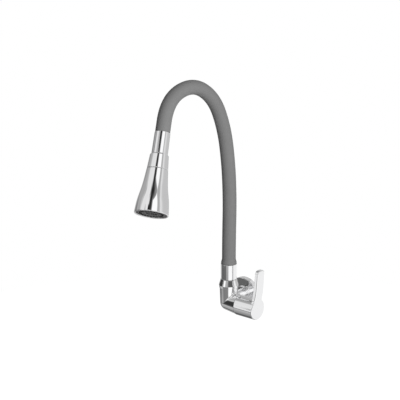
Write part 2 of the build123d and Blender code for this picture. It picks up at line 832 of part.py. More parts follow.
def jet_tube():
    socket_in = aerator_r + thread_gap
    socket_out = socket_in + socket_wall
    low = aerator_seal_at
    tube = turned(
        (tube_in_r, web_end), (tube_in_r + tube_wall, web_end), (tube_in_r + tube_wall, low - 2 * tube_wall),
        (socket_out, low - tube_wall), (socket_out, mat_at), (socket_in, mat_at), (socket_in, low),
        (tube_in_r, low),
    )
    return placed(head_frame, tube)


def aerator_seal():
    return placed(head_frame, ring(aerator_r, tube_in_r, aerator_seal_at, aerator_at))


def aerator_housing():
    wall = ring(aerator_r, aerator_r - aerator_wall, aerator_at, aerator_end)
    roof = disc(aerator_r, aerator_at, aerator_at + aerator_wall)
    hole = disc(aerator_hole_r, aerator_at - over, aerator_at + 2 * aerator_wall)
    for step in range(aerator_hole_count):
        roof -= Rot(0, 0, step * 360 / aerator_hole_count) * Pos(aerator_hole_reach, 0, 0) * hole
    return placed(head_frame, wall + roof)


def aerator_screens():
    inside = aerator_r - aerator_wall - thread_gap
    pitch = (aerator_end - aerator_at - 2 * aerator_wall) / screen_count
    screens = []
    for step in range(screen_count):
        low = aerator_end - screen_thick - aerator_wall / 2 - step * pitch
        screens.append(disc(inside, low, low + screen_thick))
    return Compound([placed(head_frame, s) for s in screens])


def around_nozzles(solid):
    """Copies of a solid on the ring of nozzles."""
    turn = 360 / nozzle_count
    return [Rot(0, 0, step * turn) * Pos(nozzle_ring_r, 0, 0) * solid for step in range(nozzle_count)]


def spray_plate():
    plate = disc(bell_mouth_r - mouth_rim - thread_gap, plate_at, plate_end)
    plate -= disc(aerator_r + thread_gap, plate_at - over, plate_end + over)
    for hole in around_nozzles(disc(nozzle_hole_r, plate_at - over, plate_end + over)):
        plate -= hole
    return placed(head_frame, plate)


def nozzle_mat():
    mat = disc(bell_mouth_r - mouth_rim - thread_gap, mat_at, plate_at)
    mat -= disc(aerator_r + socket_wall, mat_at - over, plate_at + over)
    reach = plate_end + nozzle_reach - plate_at
    nozzle = Pos(0, 0, plate_at) * Cone(nozzle_hole_r - thread_gap, nozzle_tip_r, reach,
                                        align=(Align.CENTER, Align.CENTER, Align.MIN))
    for tip in around_nozzles(nozzle):
        mat += tip
    bore = disc(nozzle_bore_r, mat_at - over, mouth + over)
    for hole in around_nozzles(bore):
        mat -= hole
    return placed(head_frame, mat)


def plate_o_ring():
    outer = bell_mouth_r - 2 * bell_wall - thread_gap
    return placed(head_frame, ring(outer, outer - plate_ring_w, plate_ring_at, mat_at))


nodes = {
    "tap_body": tap_body,
    "inlet_nipple": inlet_nipple,
    "wall_flange": wall_flange,
    "flange_gasket": flange_gasket,
    "seat_seal": seat_seal,
    "fixed_disc": fixed_disc,
    "headwork_body": headwork_body,
    "headwork_o_ring": headwork_o_ring,
    "handle_guide": handle_guide,
    "moving_disc": moving_disc,
    "spindle": spindle,
    "spindle_o_rings": spindle_o_rings,
    "spindle_clip": spindle_clip,
    "lever_handle": lever_handle,
    "grub_screw": grub_screw,
    "swivel_nut": swivel_nut,
    "lower_slip_washer": lower_slip_washer,
    "upper_slip_washer": upper_slip_washer,
    "swivel_stem": swivel_stem,
    "stem_o_rings": stem_o_rings,
    "lower_collar": lower_collar,
    "lower_ferrule": lower_ferrule,
    "water_hose": water_hose,
    "silicone_sleeve": silicone_sleeve,
    "upper_ferrule": upper_ferrule,
    "upper_collar": upper_collar,
    "hose_end_fitting": hose_end_fitting,
    "connection_washer": connection_washer,
    "head_cap": head_cap,
    "diverter_seat": diverter_seat,
    "diverter_seal": diverter_seal,
    "shoulder_screw": shoulder_screw,
    "diverter_disc": diverter_disc,
    "head_bell": head_bell,
    "jet_tube": jet_tube,
    "aerator_seal": aerator_seal,
    "aerator_housing": aerator_housing,
    "aerator_screens": aerator_screens,
    "spray_plate": spray_plate,
    "nozzle_mat": nozzle_mat,
    "plate_o_ring": plate_o_ring,
}

os.makedirs("parts", exist_ok=True)
for name, make in nodes.items():
    export_step(make(), f"parts/{name}.step")
for name, span in gooseneck_core_spans().items():
    export_step(span, f"parts/{name}.step")

radii = [round(arc_radius(i), 1) for i in range(1, len(corners))]
print("arc radii along the spout, mm:", radii)
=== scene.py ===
import json
import math
import bpy
import bmesh
from mathutils import Matrix, Vector


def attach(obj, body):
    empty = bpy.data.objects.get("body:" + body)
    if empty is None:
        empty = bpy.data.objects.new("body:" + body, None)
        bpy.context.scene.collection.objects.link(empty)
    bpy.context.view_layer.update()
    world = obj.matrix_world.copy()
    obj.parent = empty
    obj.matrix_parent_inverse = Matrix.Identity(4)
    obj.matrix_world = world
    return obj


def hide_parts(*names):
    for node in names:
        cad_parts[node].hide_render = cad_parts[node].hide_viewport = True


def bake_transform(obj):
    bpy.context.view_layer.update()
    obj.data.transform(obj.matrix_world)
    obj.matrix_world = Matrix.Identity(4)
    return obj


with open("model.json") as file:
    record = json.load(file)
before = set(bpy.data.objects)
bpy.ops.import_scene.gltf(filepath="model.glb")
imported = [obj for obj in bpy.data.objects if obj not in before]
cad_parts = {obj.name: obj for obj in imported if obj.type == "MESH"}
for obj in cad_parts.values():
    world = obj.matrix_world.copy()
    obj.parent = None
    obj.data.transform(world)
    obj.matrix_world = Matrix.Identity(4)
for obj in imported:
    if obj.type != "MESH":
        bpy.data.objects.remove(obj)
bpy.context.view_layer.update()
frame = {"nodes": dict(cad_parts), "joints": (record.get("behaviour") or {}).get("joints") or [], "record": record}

# Laundry tap with a bendable spout and a two-jet head.
# Lengths are in millimetres here and turn into metres where a mesh, the camera or the lamp is made.
mm = 0.001
eastward, outOfWall, upward = Vector((1, 0, 0)), Vector((0, -1, 0)), Vector((0, 0, 1))


# Places read from the frame

joints = {joint["name"]: joint for joint in frame["joints"]}


def jointPlace(name):
    return Vector(joints[name]["pos_m"]) / mm


def jointAxis(name):
    return Vector(joints[name]["axis"]).normalized()


def axisFrame(origin, along, side):
    # Local Z runs along the axis, local X is the side direction squared to it
    along = along.normalized()
    across = (side - along * side.dot(along)).normalized()
    return Matrix.Translation(origin) @ Matrix((across, along.cross(across), along)).transposed().to_4x4()


bodyCentre = jointPlace("lever_turn")
inletFrame = axisFrame(Vector((0, 0, 0)), outOfWall, eastward)
spoutFrame = axisFrame(bodyCentre, upward, eastward)
valveFrame = axisFrame(bodyCentre, eastward, upward)
headFrame = axisFrame(jointPlace("jet_select"), jointAxis("jet_select"), -outOfWall)


def nodePoints(node, place):
    inward = place.inverted()
    return [inward @ (vertex.co / mm) for vertex in frame["nodes"][node].data.vertices]


def reach(node, place):
    # Lowest and highest point of a node along an axis, and its widest radius round it
    points = nodePoints(node, place)
    heights = [point.z for point in points]
    return min(heights), max(heights), max(math.hypot(point.x, point.y) for point in points)


# Shader helpers

def addNode(tree, kind, inputs=None, **settings):
    node = tree.nodes.new(kind)
    for key, value in settings.items():
        setattr(node, key, value)
    for key, value in (inputs or {}).items():
        node.inputs[key].default_value = value
    return node


def join(tree, source, output, target, socket):
    tree.links.new(source.outputs[output], target.inputs[socket])


def newGroup(name, inputs, outputs):
    group = bpy.data.node_groups.new(name, "ShaderNodeTree")
    for label, kind, value in inputs:
        socket = group.interface.new_socket(label, in_out="INPUT", socket_type=kind)
        socket.default_value = value
    for label, kind in outputs:
        group.interface.new_socket(label, in_out="OUTPUT", socket_type=kind)
    return group, addNode(group, "NodeGroupInput"), addNode(group, "NodeGroupOutput")


def number(label, value):
    return (label, "NodeSocketFloat", value)


def colour(label, value):
    return (label, "NodeSocketColor", value)


def mathStep(tree, operation, sources, inputs=None):
    # A Math node fed by pairs of node and output, in order
    node = addNode(tree, "ShaderNodeMath", inputs, operation=operation)
    for i, (source, output) in enumerate(sources):
        join(tree, source, output, node, i)
    return node


def mixShaders(tree, mask, maskOutput, first, firstOutput, second, secondOutput):
    mix = addNode(tree, "ShaderNodeMixShader")
    join(tree, mask, maskOutput, mix, "Fac")
    join(tree, first, firstOutput, mix, 1)
    join(tree, second, secondOutput, mix, 2)
    return mix


surfaceOutputs = [("Colour", "NodeSocketColor"), ("Roughness", "NodeSocketFloat"),
                  ("Height", "NodeSocketFloat")]


def finishGroup(name, inputs, broad, spread, fineKind, fineOutput, fine, **fineSettings):
    # Broad marks mix two colours and spread the roughness, fine marks give the height.
    # The inputs are two colours, the sizes of the broad and fine marks, and the least and most roughness
    group, start, end = newGroup(name, inputs, surfaceOutputs)
    first, second, broadSize, fineSize, least, most = [label for label, _, _ in inputs]
    place = addNode(group, "ShaderNodeTexCoord")
    broadMarks = addNode(group, "ShaderNodeTexNoise", broad)
    fineMarks = addNode(group, fineKind, fine, **fineSettings)
    for marks, size in ((broadMarks, broadSize), (fineMarks, fineSize)):
        join(group, place, "Object", marks, "Vector")
        join(group, start, size, marks, "Scale")
    roughness = addNode(group, "ShaderNodeMapRange", spread)
    join(group, broadMarks, "Fac", roughness, "Value")
    join(group, start, least, roughness, "To Min")
    join(group, start, most, roughness, "To Max")
    mix = addNode(group, "ShaderNodeMix", data_type="RGBA")
    join(group, broadMarks, "Fac", mix, "Factor")
    join(group, start, first, mix, 6)
    join(group, start, second, mix, 7)
    join(group, mix, 2, end, "Colour")
    join(group, roughness, "Result", end, "Roughness")
    join(group, fineMarks, fineOutput, end, "Height")
    return group


# Plated metal: faint haze and wiping marks in the gloss, and a slight pull in the plate
polishMarks = finishGroup("polishMarks", [
    colour("Metal", (0.9, 0.9, 0.9, 1)), colour("Haze", (0.8, 0.8, 0.8, 1)), number("Size", 40.0),
    number("Fine", 900.0), number("Gloss", 0.04), number("Dull", 0.1)],
    {"Detail": 4.0, "Roughness": 0.6}, {"From Min": 0.35, "From Max": 0.75},
    "ShaderNodeTexNoise", "Fac", {"Detail": 2.0})
# Machined metal: fine tool lines round the part
toolLines = finishGroup("toolLines", [
    colour("Metal", (0.7, 0.55, 0.3, 1)), colour("Stain", (0.5, 0.38, 0.2, 1)), number("Size", 60.0),
    number("Lines", 2500.0), number("Gloss", 0.2), number("Dull", 0.4)],
    {"Detail": 5.0}, {}, "ShaderNodeTexWave", "Fac", {"Distortion": 2.0, "Detail": 2.0},
    bands_direction="DIAGONAL")
# Moulded rubber and plastic: fine pores and soft clouding
mouldedSkin = finishGroup("mouldedSkin", [
    colour("Base", (0.2, 0.2, 0.2, 1)), colour("Cloud", (0.25, 0.25, 0.25, 1)), number("Size", 30.0),
    number("Pores", 1400.0), number("Smooth", 0.45), number("Matt", 0.6)],
    {"Detail": 5.0, "Roughness": 0.55}, {"From Min": 0.3, "From Max": 0.7},
    "ShaderNodeTexVoronoi", "Distance", {})


def surface(name, group, values, bumpStrength, bumpDepth, shaderValues):
    # A material of one finish: the group drives colour, gloss and bump of its own shader
    material = bpy.data.materials.new(name)
    material.use_nodes = True
    tree = material.node_tree
    tree.nodes.clear()
    output = addNode(tree, "ShaderNodeOutputMaterial")
    shader = addNode(tree, "ShaderNodeBsdfPrincipled", shaderValues)
    finish = addNode(tree, "ShaderNodeGroup", node_tree=group)
    for key, value in values.items():
        finish.inputs[key].default_value = value
    bump = addNode(tree, "ShaderNodeBump", {"Strength": bumpStrength, "Distance": bumpDepth * mm})
    join(tree, finish, "Colour", shader, "Base Color")
    join(tree, finish, "Roughness", shader, "Roughness")
    join(tree, finish, "Height", bump, "Height")
    join(tree, bump, "Normal", shader, "Normal")
    join(tree, shader, "BSDF", output, "Surface")
    return material


def grey(value, blue=0.0):
    return (value, value, value + blue, 1)


finishes = {
    "chrome": surface("chromePlate", polishMarks, {
        "Metal": grey(0.93, 0.005), "Haze": grey(0.88, 0.008), "Gloss": 0.025, "Dull": 0.06}, 0.02, 0.002,
        {"Metallic": 1.0}),
    "brass": surface("turnedBrass", toolLines, {
        "Metal": (0.74, 0.56, 0.28, 1), "Stain": (0.55, 0.4, 0.2, 1)}, 0.15, 0.01, {"Metallic": 1.0}),
    "steel": surface("plainSteel", toolLines, {
        "Metal": grey(0.62), "Stain": grey(0.48), "Gloss": 0.22, "Dull": 0.38}, 0.1, 0.01, {"Metallic": 1.0}),
    "sleeve_grey": surface("greySilicone", mouldedSkin, {
        "Base": grey(0.18), "Cloud": grey(0.205), "Smooth": 0.5, "Matt": 0.62}, 0.08, 0.03,
        {"Specular IOR Level": 0.15}),
    "hose_white": surface("whiteHose", mouldedSkin, {
        "Base": (0.8, 0.8, 0.77, 1), "Cloud": (0.74, 0.74, 0.7, 1), "Smooth": 0.3, "Matt": 0.45},
        0.05, 0.02, {}),
    "black_rubber": surface("blackRubber", mouldedSkin, {
        "Base": grey(0.012), "Cloud": grey(0.02), "Smooth": 0.5, "Matt": 0.7}, 0.15, 0.03, {}),
    "ceramic": surface("lappedCeramic", mouldedSkin, {
        "Base": (0.86, 0.84, 0.79, 1), "Cloud": (0.8, 0.78, 0.72, 1), "Smooth": 0.12, "Matt": 0.22},
        0.03, 0.01, {}),
    "dark_plastic": surface("darkPlastic", mouldedSkin, {
        "Base": grey(0.14), "Cloud": grey(0.165), "Smooth": 0.35, "Matt": 0.5}, 0.1, 0.02, {}),
    "white_plastic": surface("whitePlastic", mouldedSkin, {
        "Base": grey(0.78), "Cloud": grey(0.72), "Smooth": 0.3, "Matt": 0.42}, 0.06, 0.02, {}),
    "slip_plastic": surface("slipPlastic", mouldedSkin, {
        "Base": (0.88, 0.88, 0.85, 1), "Cloud": (0.82, 0.82, 0.78, 1), "Smooth": 0.2, "Matt": 0.3},
        0.03, 0.01, {}),
}
slotOf = {part["node"]: part["material_slot"] for part in frame["record"]["subparts"]}
print("finishes made:", len(finishes))


# Mesh helpers

crisp, slight, eased = 0.1, 0.2, 0.3  # roundings of the edges that hardly show


def newObject(name, data):
    made = bpy.data.objects.new(name, data)
    bpy.context.scene.collection.objects.link(made)
    return made


def meshObject(name, mesh):
    data = bpy.data.meshes.new(name)
    mesh.to_mesh(data)
    mesh.free()
    return newObject(name, data)


def finishMesh(mesh, name, body, slotName, replaced, sharpAbove=38.0):
    # Turns millimetres into metres, smooths all but the sharp edges, and sets finish, body and stand-in
    bmesh.ops.recalc_face_normals(mesh, faces=mesh.faces)
    bmesh.ops.scale(mesh, vec=(mm, mm, mm), verts=mesh.verts)
    for face in mesh.faces:
        face.smooth = True
    for edge in mesh.edges:
        edge.smooth = len(edge.link_faces) != 2 or edge.calc_face_angle(0) < math.radians(sharpAbove)
    piece = meshObject(name, mesh)
    piece.data.materials.append(finishes[slotName])
    if body:
        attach(piece, body)
    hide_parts(*replaced)
    return piece


def roundedOutline(corners, steps=5, support=0.05):
    # Closed outline of (radius, height) points. Each corner has a rounding, with a support point past each
    # end of its arc, so that flat faces stay flat where they are shaded smooth
    outline = []
    count = len(corners)
    for i, (radius, height, rounding) in enumerate(corners):
        corner = Vector((radius, height))
        before = Vector(corners[i - 1][:2]) - corner
        after = Vector(corners[(i + 1) % count][:2]) - corner
        if rounding <= 0:
            outline.append(corner)
            continue
        half = before.angle(after) / 2
        setback = rounding / math.tan(half)
        first, last = before.normalized(), after.normalized()
        centre = corner + (first + last).normalized() * rounding / math.sin(half)
        if before.length > 2 * (setback + support):
            outline.append(corner + first * (setback + support))
        spoke = corner + first * setback - centre
        turn = spoke.angle_signed(corner + last * setback - centre)
        for step in range(steps + 1):
            outline.append(centre + turned2d(spoke, -turn * step / steps))
        if after.length > 2 * (setback + support):
            outline.append(corner + last * (setback + support))
    return outline


def turned2d(spoke, angle):
    return Vector((spoke.x * math.cos(angle) - spoke.y * math.sin(angle),
                   spoke.x * math.sin(angle) + spoke.y * math.cos(angle)))


def rigid(place):
    # Station function of a straight axis
    return lambda height: place @ Matrix.Translation((0, 0, height))


def turnedMesh(outline, station, around, radiusAt=None, mesh=None):
    # Rings along an axis, straight or bent, through a closed outline of (radius, height) points
    mesh = mesh or bmesh.new()
    rings = []
    for radius, height in outline:
        place = station(height)
        ring = []
        for step in range(around):
            angle = 2 * math.pi * step / around
            r = radiusAt(radius, height, angle) if radiusAt else radius
            ring.append(mesh.verts.new(place @ Vector((r * math.cos(angle), r * math.sin(angle), 0))))
        rings.append(ring)
    for i, ring in enumerate(rings):
        bridge(mesh, ring, rings[(i + 1) % len(rings)])
    return mesh


def bridge(mesh, lower, upper):
    # Faces between two closed rings of as many points
    for i in range(len(lower)):
        j = (i + 1) % len(lower)
        mesh.faces.new((lower[i], lower[j], upper[j], upper[i]))


def cutHole(mesh, place, radius, length, around=32):
    # Takes a round hole out of a closed mesh, from a place along its Z
    cutter = bmesh.new()
    middle = place @ Matrix.Translation((0, 0, length / 2))
    bmesh.ops.create_cone(cutter, cap_ends=True, segments=around, radius1=radius, radius2=radius,
                          depth=length, matrix=middle)
    parts = []
    for label, made in (("holedMesh", mesh), ("holeCutter", cutter)):
        bmesh.ops.recalc_face_normals(made, faces=made.faces)
        parts.append(meshObject(label, made))
    modifier = parts[0].modifiers.new("hole", "BOOLEAN")
    modifier.operation = "DIFFERENCE"
    modifier.solver = "EXACT"
    modifier.object = parts[1]
    holed = bmesh.new()
    holed.from_object(parts[0], bpy.context.evaluated_depsgraph_get())
    for part in parts:
        bpy.data.meshes.remove(part.data)
    return holed


def turnedPiece(name, place, corners, body, slotName, replaced, around=112, steps=5):
    mesh = turnedMesh(roundedOutline(corners, steps), rigid(place), around)
    return finishMesh(mesh, name, body, slotName, replaced)


# Camera at the photograph's angle, floor and light

photoView = {"azimuth": 40.37, "elevation": 16.29, "distance": 2400.0, "aimRight": -44.4, "aimUp": 157.32,
             "focalPixels": 1548.4, "imagePixels": 400, "sensor": 36.0}


def towards(azimuth, elevation):
    turn, lift = math.radians(azimuth), math.radians(elevation)
    return Vector((math.sin(turn) * math.cos(lift), -math.cos(turn) * math.cos(lift), math.sin(lift)))


def aimFrom(thing, target, back, distance):
    thing.rotation_mode = "QUATERNION"
    thing.location = (target + back * distance) * mm
    thing.rotation_quaternion = (-back).to_track_quat("-Z", "Y")


def setCamera(view):
    back = towards(view["azimuth"], view["elevation"])
    turn = math.radians(view["azimuth"])
    right = Vector((math.cos(turn), math.sin(turn), 0))
    target = bodyCentre + right * view["aimRight"] + back.cross(right) * view["aimUp"]
    data = bpy.data.cameras.new("photoCamera")
    data.sensor_width = view["sensor"]
    data.lens = view["sensor"] * view["focalPixels"] / view["imagePixels"]
    camera = newObject("photoCamera", data)
    aimFrom(camera, target, back, view["distance"])
    bpy.context.scene.camera = camera


setCamera(photoView)

studio = {"floorDrop": 300.0, "floorRadius": 1000.0, "floorSides": 96, "floorWhite": 0.5, "floorLift": 0.86,
          "diffuseLight": 0.24}


def makeFloor(values):
    mesh = bmesh.new()
    bmesh.ops.create_circle(mesh, cap_ends=True, segments=values["floorSides"],
                            radius=values["floorRadius"] * mm)
    floor = meshObject("studioFloor", mesh)
    floor.location = (0, bodyCentre.y * mm, -values["floorDrop"] * mm)
    floor.visible_glossy = False
    material = bpy.data.materials.new("paleFloor")
    material.use_nodes = True
    tree = material.node_tree
    tree.nodes.clear()
    output = addNode(tree, "ShaderNodeOutputMaterial")
    paper = addNode(tree, "ShaderNodeBsdfDiffuse", {"Color": grey(values["floorWhite"])})
    lift = addNode(tree, "ShaderNodeEmission", {"Strength": values["floorLift"]})
    both = addNode(tree, "ShaderNodeAddShader")
    join(tree, paper, "BSDF", both, 0)
    join(tree, lift, "Emission", both, 1)
    rays = addNode(tree, "ShaderNodeLightPath")
    seen = mathStep(tree, "MAXIMUM", [(rays, "Is Camera Ray"), (rays, "Is Glossy Ray")])
    pick = mixShaders(tree, seen, "Value", paper, "BSDF", both, "Shader")
    # Seen from below, the floor lets the view through
    side = addNode(tree, "ShaderNodeNewGeometry")
    clear = addNode(tree, "ShaderNodeBsdfTransparent")
    oneSided = mixShaders(tree, side, "Backfacing", pick, "Shader", clear, "BSDF")
    join(tree, oneSided, "Shader", output, "Surface")
    floor.data.materials.append(material)


makeFloor(studio)

# What the chrome mirrors, as patches by direction in degrees: azimuth from the photograph's view to its
# right, and elevation
mirrored = {
    "whiteFloorRight": {"azimuth": 85, "elevation": -31, "wide": 160, "high": 14, "soft": 20, "light": 1.15},
    "whiteWallRight": {"azimuth": 97, "elevation": -17, "wide": 60, "high": 51, "soft": 1, "light": 0.94},
    "greyWallRight": {"azimuth": 124, "elevation": 4, "wide": 62, "high": 37, "soft": 2, "light": 0.58},
    "greyFloorLeft": {"azimuth": -42, "elevation": -31, "wide": 63, "high": 20, "soft": 4, "light": 0.23},
    "darkFloorLeft": {"azimuth": -81, "elevation": -7, "wide": 82, "high": 29, "soft": 3, "light": 0.13},
    "darkFloorBack": {"azimuth": -150, "elevation": -50, "wide": 55, "high": 58, "soft": 2, "light": 0.11},
    "whiteBack": {"azimuth": -149, "elevation": -13, "wide": 23, "high": 66, "soft": 2, "light": 0.33},
    "darkRoomFront": {"azimuth": 23, "elevation": 11, "wide": 71, "high": 11, "soft": 5, "light": 0.11},
    "greyRoomFront": {"azimuth": -21, "elevation": 6, "wide": 41, "high": 10, "soft": 4, "light": 0.30},
    "lampStrip": {"azimuth": -56, "elevation": 2, "wide": 9, "high": 11, "soft": 17, "light": 1.15},
    "blackRoomLeft": {"azimuth": -103, "elevation": 4, "wide": 59, "high": 28, "soft": 9, "light": 0.04},
    "greyWallLeft": {"azimuth": -142, "elevation": 24, "wide": 65, "high": 26, "soft": 12, "light": 0.42},
    "softboxLeft": {"azimuth": -62, "elevation": 60, "wide": 63, "high": 27, "soft": 1, "light": 0.85},
    "cardLeft": {"azimuth": -78, "elevation": 45, "wide": 26, "high": 43, "soft": 4, "light": 0.82},
    "cardStrip": {"azimuth": -78, "elevation": 6, "wide": 3, "high": 48, "soft": 1, "light": 0.85},
    "softboxRight": {"azimuth": 36, "elevation": 38, "wide": 55, "high": 35, "soft": 2, "light": 1.07},
    "greyWallHigh": {"azimuth": 66, "elevation": 55, "wide": 25, "high": 55, "soft": 4, "light": 0.45},
    "whiteWallHigh": {"azimuth": 113, "elevation": 39, "wide": 73, "high": 15, "soft": 1, "light": 0.72},
    "paleWallHigh": {"azimuth": 76, "elevation": 27, "wide": 3, "high": 14, "soft": 11, "light": 0.80},
    "floorBehind": {"azimuth": 180, "elevation": -25, "wide": 38, "high": 4, "soft": 22, "light": 0.79},
    "blackFlagLow": {"azimuth": -21, "elevation": 49, "wide": 28, "high": 6, "soft": 1, "light": 0.01},
    "blackFlagMiddle": {"azimuth": -14, "elevation": 50, "wide": 13, "high": 19, "soft": 17, "light": 0.03},
    "blackFlagHigh": {"azimuth": -12, "elevation": 73, "wide": 52, "high": 6, "soft": 16, "light": 0.01},
    "topCard": {"azimuth": -17, "elevation": 30, "wide": 26, "high": 27, "soft": 3, "light": 1.15},
}

# Light of the studio behind the patches, by share of the way from straight down to straight up
skyStops = [(0, 1), (0.2, 0.26), (0.36, 0.53), (0.5, 0.71), (0.7, 0.56), (0.84, 0.25), (1, 0.39)]


def patchGroup():
    # 1 inside a patch of directions, fading to 0 over its soft edge
    inputs = [number(label, 0.0) for label in ("Azimuth", "Elevation", "Centre Azimuth", "Centre Elevation",
                                               "Half Width", "Half Height", "Soft")]
    group, start, end = newGroup("directionPatch", inputs, [("Mask", "NodeSocketFloat")])
    masks = []
    for axis, size in (("Azimuth", "Half Width"), ("Elevation", "Half Height")):
        away = mathStep(group, "SUBTRACT", [(start, axis), (start, "Centre " + axis)])
        if axis == "Azimuth":
            away = mathStep(group, "WRAP", [(away, "Value")], {1: 180.0, 2: -180.0})
        apart = mathStep(group, "ABSOLUTE", [(away, "Value")])
        outer = mathStep(group, "ADD", [(start, size), (start, "Soft")])
        fade = addNode(group, "ShaderNodeMapRange", {"To Min": 1.0, "To Max": 0.0},
                       interpolation_type="SMOOTHSTEP")
        join(group, apart, "Value", fade, "Value")
        join(group, start, size, fade, "From Min")
        join(group, outer, "Value", fade, "From Max")
        masks.append((fade, "Result"))
    join(group, mathStep(group, "MULTIPLY", masks), "Value", end, "Mask")
    return group


def makeWorld(values, stops, patches):
    world = bpy.data.worlds.new("studioWorld")
    bpy.context.scene.world = world
    world.use_nodes = True
    tree = world.node_tree
    tree.nodes.clear()
    place = addNode(tree, "ShaderNodeTexCoord")
    split = addNode(tree, "ShaderNodeSeparateXYZ")
    join(tree, place, "Generated", split, "Vector")
    rise = mathStep(tree, "ARCSINE", [(split, "Z")])
    elevation = mathStep(tree, "DEGREES", [(rise, "Value")])
    minusY = mathStep(tree, "MULTIPLY", [(split, "Y")], {1: -1.0})
    turn = mathStep(tree, "ARCTAN2", [(split, "X"), (minusY, "Value")])
    degrees = mathStep(tree, "DEGREES", [(turn, "Value")])
    azimuth = mathStep(tree, "SUBTRACT", [(degrees, "Value")], {1: photoView["azimuth"]})
    share = addNode(tree, "ShaderNodeMapRange", {"From Min": -90.0, "From Max": 90.0})
    join(tree, elevation, "Value", share, "Value")
    sky = addNode(tree, "ShaderNodeValToRGB")
    join(tree, share, "Result", sky, "Fac")
    ramp = sky.color_ramp
    while len(ramp.elements) < len(stops):
        ramp.elements.new(0.5)
    for element, (position, light) in zip(ramp.elements, stops):
        element.position = position
        element.color = grey(light)
    current, output = sky, "Color"
    group = patchGroup()
    for name, one in patches.items():
        patch = addNode(tree, "ShaderNodeGroup", node_tree=group, label=name)
        sizes = {"Centre Azimuth": one["azimuth"], "Centre Elevation": one["elevation"],
                 "Half Width": one["wide"] / 2, "Half Height": one["high"] / 2, "Soft": one["soft"]}
        for key, value in sizes.items():
            patch.inputs[key].default_value = value
        join(tree, azimuth, "Value", patch, "Azimuth")
        join(tree, elevation, "Value", patch, "Elevation")
        mix = addNode(tree, "ShaderNodeMix", data_type="RGBA")
        join(tree, patch, "Mask", mix, "Factor")
        join(tree, current, output, mix, 6)
        mix.inputs[7].default_value = grey(one["light"])
        current, output = mix, 2
    mirror = addNode(tree, "ShaderNodeBackground", {"Strength": 1.0})
    join(tree, current, output, mirror, "Color")
    plain = addNode(tree, "ShaderNodeBackground", {"Color": grey(1.0), "Strength": values["diffuseLight"]})
    white = addNode(tree, "ShaderNodeBackground", {"Color": grey(1.0), "Strength": 1.0})
    rays = addNode(tree, "ShaderNodeLightPath")
    unseen = mixShaders(tree, rays, "Is Glossy Ray", plain, "Background", mirror, "Background")
    seen = mixShaders(tree, rays, "Is Camera Ray", unseen, "Shader", white, "Background")
    end = addNode(tree, "ShaderNodeOutputWorld")
    join(tree, seen, "Shader", end, "Surface")


makeWorld(studio, skyStops, mirrored)

keyLamp = {"azimuth": 65, "elevation": 18, "distance": 1500, "size": 700, "power": 22}


def addLamp(name, values):
    data = bpy.data.lights.new(name, "AREA")
    data.shape = "DISK"
    data.size = values["size"] * mm
    data.energy = values["power"]
    lamp = newObject(name, data)
    lamp.visible_glossy = False
    target = bodyCentre + upward * photoView["aimUp"]
    aimFrom(lamp, target, towards(values["azimuth"], values["elevation"]), values["distance"])


addLamp("keyLamp", keyLamp)
bpy.context.scene.view_settings.view_transform = "Standard"
print("camera, floor, world and lamp set")


# Wall side: flange and threaded inlet

flangeShape = {"neckRadius": 16.0, "neckEdge": 0.7, "face": 8.6, "wall": 1.4, "rimHeight": 6.4, "edge": 0.8,
               "hollow": 0.8, "bore": 13.05, "boreEdge": 0.25, "insideEdge": 0.6, "around": 144}


def makeFlange(shape):
    low, high, wide = reach("wall_flange", inletFrame)
    inside = wide - shape["wall"]
    corners = [
        (shape["bore"], high, shape["boreEdge"]), (shape["neckRadius"], high, shape["neckEdge"]),
        (shape["neckRadius"], shape["face"], shape["hollow"]), (wide, shape["face"], shape["edge"]),
        (wide, low, eased), (inside, low, slight), (inside, shape["rimHeight"], shape["insideEdge"]),
        (shape["bore"], shape["rimHeight"], slight),
    ]
    turnedPiece("flangeShell", inletFrame, corners, "tap", "chrome", ["wall_flange"], around=shape["around"])


makeFlange(flangeShape)

inletShape = {"crest": 10.48, "pitch": 1.814, "depth": 1.0, "rows": 8, "bore": 6.5, "shoulder": 11.8,
              "shoulderEnd": 2.5, "grip": 10.2, "endEdge": 0.4, "fade": 1.6, "lead": 0.3, "steepness": 1.4,
              "clear": 0.01, "around": 96}


def makeInlet(shape):
    low, high, _ = reach("inlet_nipple", inletFrame)
    crest, bore, grip = shape["crest"], shape["bore"], shape["grip"]
    shoulder, shoulderEnd = shape["shoulder"], shape["shoulderEnd"]
    step = shape["pitch"] / shape["rows"]
    outline = [Vector((bore, low))] + [Vector((crest, low + step * i)) for i in range(int(-low / step) + 1)]
    outline += roundedOutline([
        (crest, -shape["clear"], 0), (shoulder, 0, eased), (shoulder, shoulderEnd, eased),
        (grip, shoulderEnd, 0), (grip, high, shape["endEdge"]), (bore, high, shape["endEdge"])])

    def threaded(radius, height, angle):
        # The crest less the groove, which runs out at both ends of the thread
        if radius != crest or height > -2 * shape["clear"]:
            return radius
        share = (height / shape["pitch"] + angle / (2 * math.pi)) % 1
        groove = 1 - abs(2 * share - 1)
        ends = min(1.0, (height - low + shape["lead"]) / shape["fade"], -height / shape["fade"])
        return radius - shape["depth"] * min(1.0, shape["steepness"] * groove) * max(ends, 0.0)

    mesh = turnedMesh(outline, rigid(inletFrame), shape["around"], threaded)
    finishMesh(mesh, "inletThread", "tap", "brass", ["inlet_nipple"])


makeInlet(inletShape)
print("wall side made")


# Handle: skirt over the valve, end wall, lever and hub

